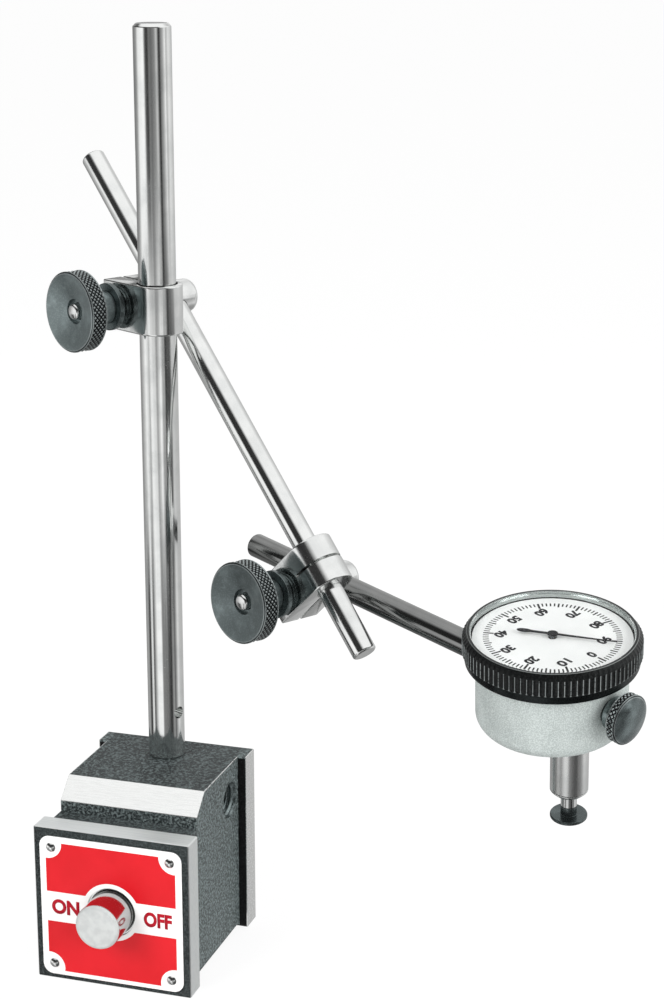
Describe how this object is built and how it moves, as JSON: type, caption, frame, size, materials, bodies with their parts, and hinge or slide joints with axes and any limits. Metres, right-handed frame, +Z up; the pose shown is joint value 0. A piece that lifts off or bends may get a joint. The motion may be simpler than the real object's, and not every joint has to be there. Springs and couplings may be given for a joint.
{
  "type": "dial indicator with magnetic base",
  "caption": "Plunger dial indicator on two jointed rods, clamped to an upright post screwed into a square magnetic base with a push button.",
  "frame": {"origin": "on the ground under the middle of the front pole plate's foot", "axes": "+Z up along the post, +Y from the front pole plate to the rear pole, +X to the right of someone facing the label"},
  "size_m": [0.1665, 0.0927, 0.239],
  "materials": {
    "crinkle_paint": "dark grey crinkle enamel",
    "ground_steel": "ground",
    "polished_steel": "polished",
    "black_steel": "black oxide",
    "satin_case": "satin chrome",
    "white_enamel": "white enamel",
    "label_red": "printed enamel",
    "black_enamel": "black enamel",
    "clear_crystal": "clear",
    "brass": "machined",
    "magnet_grey": "sintered"
  },
  "bodies": {
    "base": {"base_body": "crinkle_paint", "front_pole_plate": "ground_steel", "spacer": "crinkle_paint", "label_plate": "label_red", "label_rivet_1": "polished_steel", "label_rivet_2": "polished_steel", "label_rivet_3": "polished_steel", "label_rivet_4": "polished_steel", "plate_screw_1": "black_steel", "plate_screw_2": "black_steel", "plate_screw_3": "black_steel", "plate_screw_4": "black_steel", "front_guide_bush": "polished_steel", "rear_guide_bush": "brass"},
    "button": {"push_button": "polished_steel", "magnet_ring_front": "magnet_grey", "magnet_keeper": "ground_steel", "magnet_ring_rear": "magnet_grey", "magnet_nut": "black_steel"},
    "post": {"upright_post": "polished_steel"},
    "post_clamp": {"post_clamp_block": "polished_steel", "post_clamp_washer": "polished_steel"},
    "post_clamp_knob": {"post_clamp_knob": "black_steel"},
    "post_clamp_eye": {"post_clamp_stud": "polished_steel"},
    "upper_rod": {"upper_arm_rod": "polished_steel"},
    "arm_clamp": {"arm_clamp_block": "polished_steel", "arm_clamp_washer": "polished_steel"},
    "arm_clamp_knob": {"arm_clamp_knob": "black_steel"},
    "arm_clamp_eye": {"arm_clamp_stud": "polished_steel"},
    "lower_rod": {"lower_arm_rod": "polished_steel"},
    "indicator": {"indicator_case": "satin_case", "cross_tube": "black_steel", "indicator_stem": "polished_steel", "stem_end_bush": "polished_steel", "stem_nut": "brass", "movement_plate_lower": "brass", "movement_plate_upper": "brass", "movement_pillar_1": "brass", "movement_pillar_2": "brass", "movement_pillar_3": "brass", "bell_crank_pin": "polished_steel", "spindle_spring": "polished_steel"},
    "clamp_knob": {"clamp_knob": "black_steel"},
    "bezel": {"bezel": "black_steel", "bezel_ring": "black_steel", "crystal": "clear_crystal", "dial_plate": "white_enamel"},
    "hand": {"main_hand": "black_enamel", "centre_arbor": "polished_steel"},
    "wheel": {"intermediate_wheel": "brass"},
    "sector": {"sector_gear": "brass"},
    "crank": {"bell_crank": "brass"},
    "spindle": {"spindle": "polished_steel", "contact_button": "black_steel"}
  },
  "joints": [
    {"name": "button_push", "type": "slide", "parent": "base", "child": "button", "axis": [0, 1, 0], "range_m": [0, 0.01]},
    {"name": "post_turn", "type": "hinge", "parent": "base", "child": "post", "pos_m": [0, 0.03583, 0], "axis": [0, 0, 1], "range_deg": [-180, 180]},
    {"name": "post_clamp_slide", "type": "slide", "parent": "post", "child": "post_clamp", "axis": [0, 0, 1], "range_m": [-0.05, 0.06]},
    {"name": "post_clamp_knob_turn", "type": "hinge", "parent": "post_clamp_eye", "child": "post_clamp_knob", "pos_m": [-0.00837, 0.04073, 0.1688], "axis": [0.5051, 0.863, 0], "range_deg": [-360, 0]},
    {"name": "upper_rod_tilt", "type": "hinge", "parent": "post_clamp", "child": "post_clamp_eye", "pos_m": [-0.00837, 0.04073, 0.1688], "axis": [0.5051, 0.863, 0], "range_deg": [-80, 20]},
    {"name": "upper_rod_slide", "type": "slide", "parent": "post_clamp_eye", "child": "upper_rod", "axis": [0.5969, -0.3494, -0.7222], "range_m": [-0.036, 0.036]},
    {"name": "arm_clamp_turn", "type": "hinge", "parent": "upper_rod", "child": "arm_clamp", "pos_m": [0.04697, 0.02155, 0.10881], "axis": [0.5969, -0.3494, -0.7222], "range_deg": [-180, 120]},
    {"name": "arm_clamp_knob_turn", "type": "hinge", "parent": "arm_clamp_eye", "child": "arm_clamp_knob", "pos_m": [0.0407, 0.0247, 0.10211], "axis": [0.4757, 0.879, -0.0321], "range_deg": [-360, 0]},
    {"name": "lower_rod_tilt", "type": "hinge", "parent": "arm_clamp", "child": "arm_clamp_eye", "pos_m": [0.0407, 0.0247, 0.10211], "axis": [0.4757, 0.879, -0.0321], "range_deg": [-80, 75]},
    {"name": "lower_rod_slide", "type": "slide", "parent": "arm_clamp_eye", "child": "lower_rod", "axis": [0.8722, -0.476, -0.1128], "range_m": [-0.03, 0.024]},
    {"name": "indicator_turn", "type": "hinge", "parent": "lower_rod", "child": "indicator", "pos_m": [0.11075, -0.00056, 0.09338], "axis": [0.8722, -0.476, -0.1128], "range_deg": [-180, 180]},
    {"name": "clamp_knob_turn", "type": "hinge", "parent": "lower_rod", "child": "clamp_knob", "pos_m": [0.11075, -0.00056, 0.09338], "axis": [0.8722, -0.476, -0.1128], "range_deg": [0, 360]},
    {"name": "bezel_turn", "type": "hinge", "parent": "indicator", "child": "bezel", "pos_m": [0.11075, -0.00056, 0.09338], "axis": [0.0253, -0.1863, 0.9822], "continuous": true},
    {"name": "spindle_lift", "type": "slide", "parent": "indicator", "child": "spindle", "axis": [0.0253, -0.1863, 0.9822], "range_m": [0, 0.00508], "stiffness_N_per_m": 100, "springref_m": -0.008, "deforming": ["spindle_spring"]},
    {"name": "crank_turn", "type": "hinge", "parent": "indicator", "child": "crank", "pos_m": [0.11698, 0.00982, 0.09778], "axis": [-0.8722, 0.476, 0.1128], "range_deg": [0, 48.6]},
    {"name": "sector_turn", "type": "hinge", "parent": "indicator", "child": "sector", "pos_m": [0.12046, 0.00836, 0.09483], "axis": [-0.0253, 0.1863, -0.9822], "range_deg": [0, 30.2]},
    {"name": "wheel_turn", "type": "hinge", "parent": "indicator", "child": "wheel", "pos_m": [0.11691, 0.00049, 0.09342], "axis": [0.0253, -0.1863, 0.9822], "range_deg": [0, 180.2]},
    {"name": "hand_turn", "type": "hinge", "parent": "indicator", "child": "hand", "pos_m": [0.11075, -0.00056, 0.09338], "axis": [-0.0253, 0.1863, -0.9822], "range_deg": [0, 720.2]}
  ],
  "couplings": [
    {"joint": "crank_turn", "follows": "spindle_lift", "rad_per_m": 166.18},
    {"joint": "sector_turn", "follows": "spindle_lift", "rad_per_m": 103.07},
    {"joint": "wheel_turn", "follows": "spindle_lift", "rad_per_m": 618.42},
    {"joint": "hand_turn", "follows": "spindle_lift", "rad_per_m": 2473.7}
  ]
}
